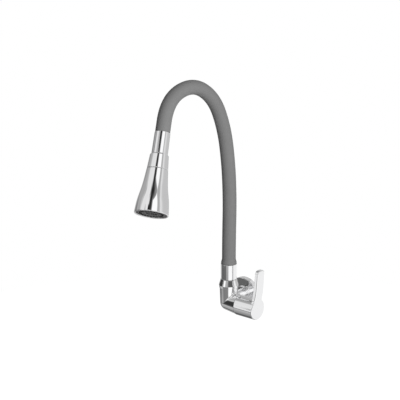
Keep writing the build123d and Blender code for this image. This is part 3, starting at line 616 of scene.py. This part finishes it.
leverShape = {"radius": 16.2, "wall": 1.8, "thick": 4.6, "root": 18.4, "tip": 16.4, "corner": 5.6,
              "hollow": 9.0, "lean": 5.8, "leverThick": 5.6, "bendStart": 8.1, "backBend": 1.0, "past": 1.0,
              "curve": [(0, 0, 0), (0.25, 0.42, 2.059), (0.6, 0.83, 0.685), (1, 1, 0)],
              "frontEdge": 1.25, "backEdge": 0.4, "support": 0.05, "edgeStep": 15, "skirtEdge": 0.45,
              "hubRadius": 7.6, "hubBore": 4.05, "hubLength": 9.0, "hubEdge": 0.5, "hubSink": 0.1,
              "screwHole": 1.55, "holeLead": 0.1, "holeRun": 20.0,
              "discSteps": 60, "hollowSteps": 12, "sideSteps": 24, "cornerSteps": 9, "columns": 4,
              "skirtSteps": 7, "hubAround": 64}


def leaning(curve, share):
    # Share of the lean at a share of the lever's length: a smooth curve through points with their slopes
    share = min(max(share, 0.0), 1.0)
    for (start, low, rise), (end, high, fall) in zip(curve, curve[1:]):
        if share <= end:
            run = end - start
            t = (share - start) / run
            return (low * (1 + 2 * t) * (1 - t) ** 2 + rise * run * t * (1 - t) ** 2
                    + high * t * t * (3 - 2 * t) + fall * run * t * t * (t - 1))
    return 1.0


def leverHalfOutline(shape, top):
    # Half the lever's outline, from the foot of the disc to its tip: u is up the lever, v is across
    radius, hollow, corner = shape["radius"], shape["hollow"], shape["corner"]
    foot = Vector((math.sqrt(radius ** 2 - (shape["root"] / 2) ** 2), shape["root"] / 2))
    tip = Vector((top, shape["tip"] / 2))
    side = (tip - foot).normalized()
    out = Vector((-side.y, side.x))
    away = out.dot(foot) + hollow
    centre = side * math.sqrt((radius + hollow) ** 2 - away ** 2) + out * away
    points = []

    def addArc(middle, size, start, end, steps):
        for i in range(1, steps + 1):
            angle = start + (end - start) * i / steps
            points.append(middle + Vector((math.cos(angle), math.sin(angle))) * size)

    discEnd = math.atan2(centre.y, centre.x)
    addArc(Vector((0, 0)), radius, math.pi, discEnd, shape["discSteps"])
    hollowEnd = math.atan2(-out.y, -out.x) % (2 * math.pi)
    addArc(centre, hollow, discEnd + math.pi, hollowEnd, shape["hollowSteps"])
    edgePoint = foot + side * (top - corner - foot.x + out.x * corner) / side.x
    lineStart, steps = points[-1], shape["sideSteps"]
    points += [lineStart.lerp(edgePoint, i / steps) for i in range(1, steps + 1)]
    addArc(edgePoint - out * corner, corner, math.atan2(out.y, out.x), 0, shape["cornerSteps"])
    return points


def makeLever(shape):
    skirtStart, front, _ = reach("lever_handle", valveFrame)
    radius, lean, columns = shape["radius"], shape["lean"], shape["columns"]
    face = front - lean
    back = face - shape["thick"]
    top = max(point.x for point in nodePoints("lever_handle", valveFrame))
    curveEnd = top + shape["past"]
    bendStart, backStart = shape["bendStart"], radius + shape["backBend"]

    def frontDepth(u):
        return face + lean * leaning(shape["curve"], (u - bendStart) / (curveEnd - bendStart))

    def backDepth(u):
        rise = lean + shape["thick"] - shape["leverThick"]
        return back + rise * leaning(shape["curve"], (u - backStart) / (curveEnd - backStart))

    half = leverHalfOutline(shape, top)
    tipRow = [half[-1].lerp(Vector((half[-1].x, -half[-1].y)), i / columns) for i in range(1, columns)]
    otherHalf = [Vector((point.x, -point.y)) for point in reversed(half)]
    loop = [Vector((-radius, 0))] + half + tipRow + otherHalf
    normals = []
    for i in range(len(loop)):
        run = loop[(i + 1) % len(loop)] - loop[i - 1]
        normals.append(Vector((-run.y, run.x)).normalized())
    if normals[len(half) // 2].dot(loop[len(half) // 2 + 1]) < 0:
        normals = [-normal for normal in normals]

    # Rings round the edge, from the back to the front
    levels = []
    for edge, depthAt, sign in ((shape["backEdge"], backDepth, -1), (shape["frontEdge"], frontDepth, 1)):
        arc = [(edge * (1 - math.cos(math.radians(a))), edge * (1 - math.sin(math.radians(a))))
               for a in range(0, 91, shape["edgeStep"])]
        rows = [(0, edge + shape["support"])] + arc + [(edge + shape["support"], 0)]
        levels.append([(inset, drop, depthAt, sign) for inset, drop in rows])
    mesh = bmesh.new()
    rings = []
    for inset, drop, depthAt, sign in list(reversed(levels[0])) + levels[1]:
        ring = []
        for point, normal in zip(loop, normals):
            moved = point - normal * inset
            depth = depthAt(moved.x) - sign * drop
            ring.append(mesh.verts.new(valveFrame @ Vector((moved.x, moved.y, depth))))
        rings.append(ring)
    for lower, upper in zip(rings, rings[1:]):
        bridge(mesh, lower, upper)
    for ring in (rings[0], rings[-1]):
        fillLeverFace(mesh, ring, len(half), columns)

    # The grub screw's hole runs from the spindle down through the foot of the disc
    screw = nodePoints("grub_screw", valveFrame)
    depths = [point.z for point in screw]
    start = (max(point.x for point in screw) + shape["holeLead"], 0, (min(depths) + max(depths)) / 2)
    hole = valveFrame @ Matrix.Translation(start) @ Matrix.Rotation(math.radians(-90), 4, "Y")
    mesh = cutHole(mesh, hole, shape["screwHole"], shape["holeRun"])
    finishMesh(mesh, "leverPlate", "handle", "chrome", ["lever_handle"])

    bore, skirtEnd = radius - shape["wall"], back + shape["backEdge"] + shape["support"]
    turnedPiece("handleSkirt", valveFrame, [
        (bore, skirtStart, slight), (radius, skirtStart, shape["skirtEdge"]), (radius, skirtEnd, 0),
        (bore, skirtEnd, 0)], "handle", "chrome", ["lever_handle"], steps=shape["skirtSteps"])
    hubStart, hubEnd = back - shape["hubLength"], back + shape["hubSink"]
    turnedPiece("leverHub", valveFrame, [
        (shape["hubBore"], hubStart, eased), (shape["hubRadius"], hubStart, shape["hubEdge"]),
        (shape["hubRadius"], hubEnd, 0), (shape["hubBore"], hubEnd, 0)],
        "handle", "chrome", ["lever_handle"], around=shape["hubAround"])


def fillLeverFace(mesh, ring, rows, columns):
    # Quads across the lever, row by row: the face bends along the lever only
    left, right = ring[1:rows + 1], list(reversed(ring[rows + columns:]))
    tipRow = ring[rows + 1:rows + columns]
    previous = None
    for i in range(rows):
        if i == rows - 1:
            middle = tipRow
        else:
            middle = [mesh.verts.new(left[i].co.lerp(right[i].co, c / columns)) for c in range(1, columns)]
        row = [left[i]] + middle + [right[i]]
        for c in range(columns):
            if previous is None:
                mesh.faces.new((ring[0], row[c], row[c + 1]))
            else:
                mesh.faces.new((previous[c], row[c], row[c + 1], previous[c + 1]))
        previous = row


makeLever(leverShape)
print("handle made")


# Swivel nut and lower collar

nutShape = {"bottom": 15.0, "bottomEdge": 0.35, "wideAt": 4.0, "wideEdge": 0.9, "top": 12.5, "topEdge": 0.4,
            "bore": 11.65, "boreEdge": 0.15, "neck": 8.2, "roof": 2.1}


def makeNut(shape):
    low, high, wide = reach("swivel_nut", spoutFrame)
    under = high - shape["roof"]
    corners = [
        (shape["bore"], low, shape["boreEdge"]), (shape["bottom"], low, shape["bottomEdge"]),
        (wide, low + shape["wideAt"], shape["wideEdge"]), (shape["top"], high, shape["topEdge"]),
        (shape["neck"], high, crisp), (shape["neck"], under, crisp), (shape["bore"], under, slight),
    ]
    turnedPiece("swivelNutShell", spoutFrame, corners, "tap", "chrome", ["swivel_nut"])


makeNut(nutShape)

collarShape = {"neck": 7.95, "shoulder": 8.0, "seat": 8.35, "stepUp": 8.5, "wall": 0.9, "edge": 0.5,
               "topEdge": 0.35, "rimEdge": 0.15}


def makeLowerCollar(shape):
    low, high, wide = reach("lower_collar", spoutFrame)
    shoulder = low + shape["shoulder"]
    floor = shoulder + shape["stepUp"]
    thin = wide - shape["wall"]
    corners = [
        (shape["neck"], low, crisp), (wide, low, shape["edge"]), (wide, high, shape["topEdge"]),
        (thin, high, shape["rimEdge"]), (thin, floor, slight), (shape["seat"], floor, crisp),
        (shape["seat"], shoulder, crisp), (shape["neck"], shoulder, crisp),
    ]
    turnedPiece("lowerCollarShell", spoutFrame, corners, "spout_riser", "chrome", ["lower_collar"])


makeLowerCollar(collarShape)
print("swivel nut and lower collar made")


# Gooseneck: the line of the spout, from the stem's shoulder into the head

spoutShape = {"foot": 46.47, "lean": 32.8, "reach": 191.0, "height": 363.0,
              "shares": [(0, 0, 0.2865), (0.061, 0.005, 0.452), (0.121, 0.037, 0.614), (0.212, 0.11, 0.774),
                         (0.342, 0.265, 0.919), (0.43, 0.535, 1), (0.573, 0.847, 0.964), (1, 1, 0.81)]}


def makeRoute(shape):
    points = [bodyCentre + upward * shape["foot"]]
    for lean, away, rise in shape["shares"]:
        points.append(eastward * lean * shape["lean"] + outOfWall * (away * shape["reach"] - bodyCentre.y)
                      + upward * rise * shape["height"])
    return points


routePoints = makeRoute(spoutShape)


def spoutCurve(points, finest=0.5, apart=1e-6):
    # Straight out of each end, then one smooth bend round each point, through the middle of each run
    middles = [(a + b) / 2 for a, b in zip(points, points[1:])]
    line = [points[0]]
    for i in range(1, len(points) - 1):
        start, corner, end = middles[i - 1], points[i], middles[i]
        steps = int((end - start).length / finest)
        for step in range(steps + 1):
            t = step / steps
            line.append(start * (1 - t) ** 2 + corner * 2 * t * (1 - t) + end * t ** 2)
    line.append(points[-1])
    return [p for i, p in enumerate(line) if i == 0 or (p - line[i - 1]).length > apart]


class SpoutLine:
    # Places along the spout by distance from its foot, with a frame that doesn't twist
    def __init__(self, points):
        self.points = points
        self.reach = [0.0]
        for a, b in zip(points, points[1:]):
            self.reach.append(self.reach[-1] + (b - a).length)
        self.sides = []
        side = Vector((1, 0, 0))
        for i in range(len(points)):
            along = self.direction(i)
            side = (side - along * side.dot(along)).normalized()
            self.sides.append(side)

    def direction(self, i):
        low, high = max(i - 1, 0), min(i + 1, len(self.points) - 1)
        return (self.points[high] - self.points[low]).normalized()

    def station(self, distance):
        # Frame at a distance: the nearest two points of the line are blended
        low, high = 0, len(self.points) - 1
        while high - low > 1:
            middle = (low + high) // 2
            if self.reach[middle] <= distance:
                low = middle
            else:
                high = middle
        share = (distance - self.reach[low]) / (self.reach[high] - self.reach[low])
        point = self.points[low].lerp(self.points[high], share)
        along = self.direction(low).lerp(self.direction(high), share)
        side = self.sides[low].lerp(self.sides[high], share)
        return axisFrame(point, along, side)

    def nearest(self, place):
        best = min(range(len(self.points)), key=lambda i: (self.points[i] - place).length)
        return self.reach[best]


spout = SpoutLine(spoutCurve(routePoints))
footHeight = routePoints[0].z
endReach = spout.reach[-1]
cutLow = spout.nearest((routePoints[3] + routePoints[4]) / 2)
cutHigh = spout.nearest((routePoints[6] + routePoints[7]) / 2)

bends = {
    "riser_bend": {"bodies": ("spout_riser", "spout_crown"), "half": 45.0, "run": (1, 2)},
    "crown_bend": {"bodies": ("spout_crown", "spout_drop"), "half": 45.0, "run": (5, 6)},
    "drop_bend": {"bodies": ("spout_drop", "head"), "half": 15.0, "run": (7, 8)},
}


def bendPiece(piece):
    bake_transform(piece)


def spacedOut(corners, longest):
    # Adds points on long runs of a closed outline
    outline = []
    for i, corner in enumerate(corners):
        after = corners[(i + 1) % len(corners)]
        pieces = max(1, math.ceil((after - corner).length / longest))
        outline += [corner.lerp(after, step / pieces) for step in range(pieces)]
    return outline


def tubeParts(name, outlines, slotName, replaced, around, longest):
    # Three lengths of one tube, laid along the spout's line
    spans = zip(("Riser", "Crown", "Drop"), outlines, bends, replaced)
    for label, outline, jointName, nodes in spans:
        mesh = turnedMesh(spacedOut(outline, longest), spout.station, around)
        piece = finishMesh(mesh, name + label, None, slotName, nodes)
        bendPiece(piece)


def plainTube(outer, inner, low, high):
    return [Vector((outer, low)), Vector((outer, high)), Vector((inner, high)), Vector((inner, low))]


gooseneckShape = {"sleeveOuter": 10.6, "sleeveInner": 8.6, "lip": 11.9, "lipHeight": 2.6, "lipTaper": 4.8,
                  "lipEdge": 0.5, "lipRound": 2.2, "taperRound": 2.5, "overRim": 0.05, "inCollar": 11.45,
                  "tuck": 9.9, "tuckLength": 8.0, "headGrip": 16.0, "coreOuter": 8.3, "coreInner": 6.0,
                  "hoseOuter": 5.2, "hoseBore": 3.8, "ribDepth": 0.35, "ribPitch": 3.2, "rowsPerRib": 6,
                  "gap": 0.3, "sleeveAround": 72, "coreAround": 32, "longest": 3.0, "hoseLongest": 4.0}


def makeSleeve(shape):
    _, collarTop, _ = reach("lower_collar", spoutFrame)
    sleeveFoot, _, _ = reach("silicone_sleeve", spoutFrame)
    outer, inner = shape["sleeveOuter"], shape["sleeveInner"]
    low = sleeveFoot - footHeight
    rim = collarTop + shape["overRim"] - footHeight
    lipEnd = rim + shape["lipHeight"]
    lip = roundedOutline([
        (shape["inCollar"], low, slight), (shape["inCollar"], rim, 0), (shape["lip"], rim, shape["lipEdge"]),
        (shape["lip"], lipEnd, shape["lipRound"]), (outer, lipEnd + shape["lipTaper"], shape["taperRound"]),
        (outer, cutLow, 0), (inner, cutLow, 0), (inner, low, slight)])
    headTop = endReach - shape["headGrip"]
    tuckEnd = headTop + shape["tuckLength"]
    drop = roundedOutline([
        (inner, cutHigh, 0), (outer, cutHigh, 0), (outer, headTop - shape["gap"], eased),
        (shape["tuck"], headTop - shape["gap"], 0), (shape["tuck"], tuckEnd, slight),
        (inner, tuckEnd, slight)])
    outlines = [lip, plainTube(outer, inner, cutLow, cutHigh), drop]
    nodes = [["silicone_sleeve"]] * 3
    tubeParts("sleeve", outlines, "sleeve_grey", nodes, shape["sleeveAround"], shape["longest"])


def ribbedTube(shape, low, high):
    # Wound core: shallow ribs outside, smooth inside
    steps = int((high - low) / shape["ribPitch"] * shape["rowsPerRib"])
    outline = []
    for step in range(steps + 1):
        place = low + (high - low) * step / steps
        dip = 0.5 - 0.5 * math.cos(2 * math.pi * place / shape["ribPitch"])
        outline.append(Vector((shape["coreOuter"] - shape["ribDepth"] * dip, place)))
    return outline + [Vector((shape["coreInner"], high)), Vector((shape["coreInner"], low))]


def makeCoreAndHose(shape):
    cuts = (0.0, cutLow, cutHigh, endReach)
    cores = [ribbedTube(shape, low, high) for low, high in zip(cuts, cuts[1:])]
    coreNodes = [["gooseneck_core_riser"], ["gooseneck_core_crown"],
                 ["gooseneck_core_drop", "gooseneck_core_tip"]]
    tubeParts("core", cores, "steel", coreNodes, shape["coreAround"], shape["longest"])
    cuts = (shape["gap"], cutLow, cutHigh, endReach - shape["gap"])
    hoses = [plainTube(shape["hoseOuter"], shape["hoseBore"], low, high) for low, high in zip(cuts, cuts[1:])]
    tubeParts("hose", hoses, "hose_white", [["water_hose"]] * 3, shape["coreAround"], shape["hoseLongest"])


makeSleeve(gooseneckShape)
makeCoreAndHose(gooseneckShape)
print("gooseneck made")


# Spray head

upperCollarShape = {"top": 11.2, "tuck": 9.95, "tuckEnd": 8.3, "seat": 8.35, "seatEnd": 16.0, "neck": 7.95,
                    "flange": 9.85, "flangeAt": 25.9, "edge": 0.4}


def makeUpperCollar(shape):
    low, high, wide = reach("upper_collar", headFrame)
    corners = [
        (shape["tuck"], low, crisp), (shape["top"], low, shape["edge"]), (wide, high, shape["edge"]),
        (shape["flange"], high, crisp), (shape["flange"], shape["flangeAt"], crisp),
        (shape["neck"], shape["flangeAt"], crisp), (shape["neck"], shape["seatEnd"], crisp),
        (shape["seat"], shape["seatEnd"], crisp), (shape["seat"], shape["tuckEnd"], crisp),
        (shape["tuck"], shape["tuckEnd"], crisp),
    ]
    turnedPiece("upperCollarShell", headFrame, corners, "head", "chrome", ["upper_collar"])


makeUpperCollar(upperCollarShape)

capShape = {"bore": 8.35, "top": 12.6, "shoulder": 13.3, "bevel": 1.1, "bevelEdge": 0.8, "cavity": 12.7,
            "rimEdge": 0.15, "roof": 2.4, "hole": 4.5, "edge": 0.6}


def makeCap(shape):
    low, high, wide = reach("head_cap", headFrame)
    ceiling, _, _ = reach("diverter_seat", headFrame)
    roof = ceiling - shape["roof"]
    corners = [
        (shape["bore"], low, crisp), (shape["top"], low, eased),
        (shape["shoulder"], low + shape["bevel"], shape["bevelEdge"]), (wide, high, shape["edge"]),
        (shape["cavity"], high, shape["rimEdge"]), (shape["cavity"], ceiling, eased),
        (shape["hole"], ceiling, crisp), (shape["hole"], roof, crisp), (shape["bore"], roof, slight),
    ]
    turnedPiece("capShell", headFrame, corners, "head", "chrome", ["head_cap"])


makeCap(capShape)

bellShape = {"top": 15.2, "topEdge": 0.55, "wall": 1.5, "web": 2.5, "webHole": 6.6,
             "flare": [(0, 0), (0.25, 0.2), (0.45, 0.42), (0.65, 0.715), (0.8, 0.87), (1, 1)],
             "rows": 48, "rim": 2.2, "rimEdge": 0.95, "rimStart": 1.6, "ledgeWidth": 2.2, "ledgeThick": 2.0,
             "overMat": 1.5, "around": 144}


def splineThrough(points):
    # Natural cubic curve through a few points, as a function of the first coordinate
    runs = [b[0] - a[0] for a, b in zip(points, points[1:])]
    slopes = [(b[1] - a[1]) / run for a, b, run in zip(points, points[1:], runs)]
    shares, rests = [0.0], [0.0]
    for i in range(1, len(runs)):
        width = 2 * (runs[i - 1] + runs[i]) - runs[i - 1] * shares[-1]
        shares.append(runs[i] / width)
        rests.append((6 * (slopes[i] - slopes[i - 1]) - runs[i - 1] * rests[-1]) / width)
    bends = [0.0] * len(points)
    for i in range(len(runs) - 1, 0, -1):
        bends[i] = rests[i] - shares[i] * bends[i + 1]

    def curve(place):
        i = max(j for j in range(len(runs)) if j == 0 or points[j][0] <= place)
        t, run = place - points[i][0], runs[i]
        start = slopes[i] - run * (2 * bends[i] + bends[i + 1]) / 6
        return points[i][1] + t * (start + t * (bends[i] / 2 + t * (bends[i + 1] - bends[i]) / (6 * run)))

    return curve


def makeBell(shape):
    low, high, wide = reach("head_bell", headFrame)
    matLow, _, _ = reach("nozzle_mat", headFrame)
    length, rows, edge = high - low, shape["rows"], shape["rimEdge"]
    flare = splineThrough(shape["flare"])

    def bellRadius(height):
        return shape["top"] + (wide - shape["top"]) * flare((height - low) / length)

    heights = [low + length * i / rows for i in range(1, rows + 1)]
    rimTop = high - edge * shape["rimStart"]
    outer = [Vector((bellRadius(height), height)) for height in heights if height < rimTop]
    inner = wide - shape["rim"]
    ledgeTop = matLow - shape["overMat"]
    rim = roundedOutline([(outer[-1].x, outer[-1].y, 0), (wide, high, edge), (inner, high, edge),
                          (inner, ledgeTop, crisp)])[1:-1]
    top = roundedOutline([(shape["webHole"], low, crisp), (shape["top"], low, shape["topEdge"]),
                          (outer[0].x, outer[0].y, 0)])[:-1]
    ledgeLow = ledgeTop - shape["ledgeThick"]
    ledgeInner = inner - shape["wall"] - shape["ledgeWidth"]
    inside = [Vector((inner, ledgeTop)), Vector((ledgeInner, ledgeTop)), Vector((ledgeInner, ledgeLow))]
    webEnd = low + shape["web"]
    for i in range(rows // 2 + 1):
        height = ledgeLow + (webEnd - ledgeLow) * i / (rows // 2)
        inside.append(Vector((bellRadius(height) - shape["wall"], height)))
    inside.append(Vector((shape["webHole"], webEnd)))
    mesh = turnedMesh(top + outer + rim + inside, rigid(headFrame), shape["around"])
    finishMesh(mesh, "bellShell", "bell", "chrome", ["head_bell"])


makeBell(bellShape)

netShape = {"wire": 0.22, "pitch": 1.15, "rim": 0.5, "rimHalf": 0.2, "layerTurn": 45.0, "weave": 0.7,
            "wireSteps": 4, "around": 64}


def makeNets(shape):
    # Three woven screens of the aerator, each in its rim
    _, _, wide = reach("aerator_screens", headFrame)
    heights = sorted({round(point.z, 1) for point in nodePoints("aerator_screens", headFrame)})
    layers = [sum(pair) / 2 for pair in zip(heights[::2], heights[1::2])]
    mesh = bmesh.new()
    inside = wide - shape["rim"]
    count = int(inside / shape["pitch"])
    for layer, height in enumerate(layers):
        turn = Matrix.Rotation(math.radians(shape["layerTurn"] * layer), 4, "Z")
        for direction in (0, 1):
            across = Matrix.Rotation(math.radians(90.0 * direction), 4, "Z")
            place = headFrame @ Matrix.Translation((0, 0, height)) @ turn @ across
            for row in range(-count, count + 1):
                offset = row * shape["pitch"]
                addWire(mesh, place, offset, math.sqrt(inside ** 2 - offset ** 2), shape, row + direction)
        low, high = height - shape["rimHalf"], height + shape["rimHalf"]
        ring = [Vector((wide, low)), Vector((wide, high)), Vector((inside, high)), Vector((inside, low))]
        turnedMesh(ring, rigid(headFrame), shape["around"], mesh=mesh)
    finishMesh(mesh, "aeratorNets", "bell", "steel", ["aerator_screens"])


def addWire(mesh, place, offset, half, shape, phase):
    # A square wire that goes over and under its neighbours
    steps = max(2, int(shape["wireSteps"] * half / shape["pitch"]))
    size = shape["wire"] / 2
    sections = []
    for step in range(steps + 1):
        run = -half + 2 * half * step / steps
        lift = size * shape["weave"] * math.cos(math.pi * (run / shape["pitch"] + phase))
        sections.append([mesh.verts.new(place @ Vector((run, offset + y, lift + z)))
                         for y, z in ((-size, -size), (size, -size), (size, size), (-size, size))])
    for lower, upper in zip(sections, sections[1:]):
        bridge(mesh, lower, upper)
    mesh.faces.new(sections[0])
    mesh.faces.new(sections[-1])


makeNets(netShape)
print("spray head made")


# Pieces that keep their own shape get their finish

for node, piece in frame["nodes"].items():
    material = finishes[slotOf[node]]
    for slot in piece.material_slots:
        slot.material = material
print("finishes set on", len(frame["nodes"]), "nodes")
